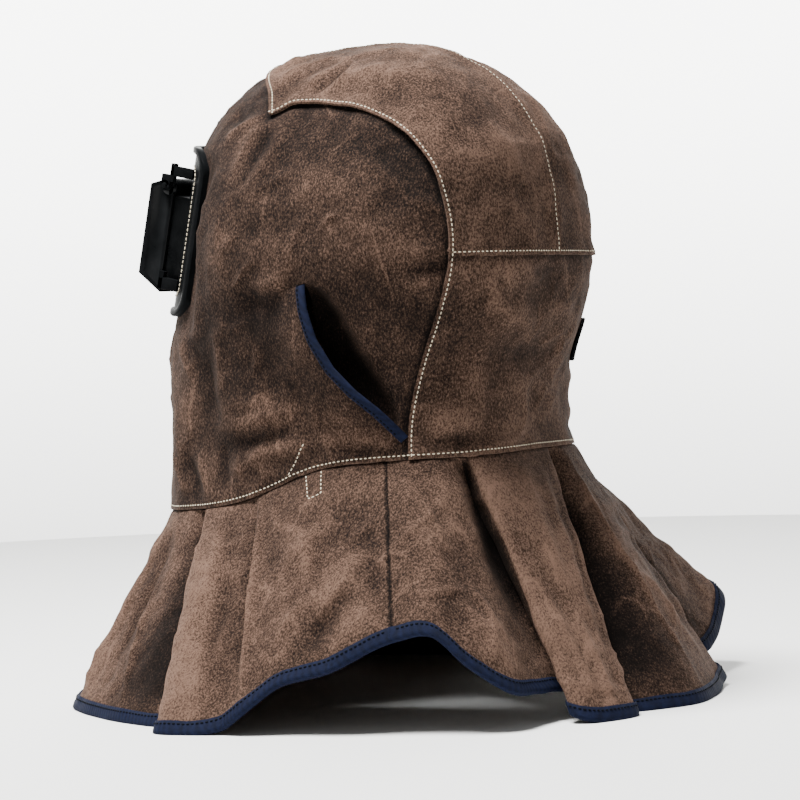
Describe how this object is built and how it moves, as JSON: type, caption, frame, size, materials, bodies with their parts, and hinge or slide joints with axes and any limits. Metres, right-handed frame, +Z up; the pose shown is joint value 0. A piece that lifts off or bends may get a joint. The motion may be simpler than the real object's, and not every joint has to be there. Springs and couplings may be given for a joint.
{
  "type": "leather welding hood",
  "caption": "Full leather welding hood with a pleated cape, bound hem, ear vents and a flip-up lens holder on its face.",
  "frame": {"origin": "middle of the footprint of the hem, on the surface the hood stands on", "axes": "+Z up, -Y out of the face of the hood, +X to the wearer's left"},
  "size_m": [0.427, 0.4295, 0.43],
  "materials": {
    "suede": "brown split cowhide suede",
    "navy_tape": "navy woven binding tape",
    "black_webbing": "black webbing",
    "black_plastic": "black moulded plastic, satin",
    "clear_lens": "clear cover lens",
    "shade_glass": "dark green welding shade"
  },
  "bodies": {
    "hood": {"face_panel": "suede", "crown_panel_left": "suede", "crown_panel_right": "suede", "back_panel": "suede", "cape_front": "suede", "cape_back": "suede", "hem_binding_front": "navy_tape", "hem_binding_back": "navy_tape", "vent_binding_left": "navy_tape", "vent_binding_right": "navy_tape", "neck_tab": "black_webbing", "lens_plate": "black_plastic", "base_frame": "black_plastic", "cover_lens": "clear_lens", "hinge_pin_left": "black_plastic", "hinge_pin_right": "black_plastic"},
    "flip_front": {"flip_frame": "black_plastic", "shade_lens": "shade_glass"}
  },
  "joints": [
    {"name": "front_flip", "type": "hinge", "parent": "hood", "child": "flip_front", "pos_m": [0, -0.13362, 0.34387], "axis": [-1, 0, 0], "range_deg": [0, 95]}
  ]
}
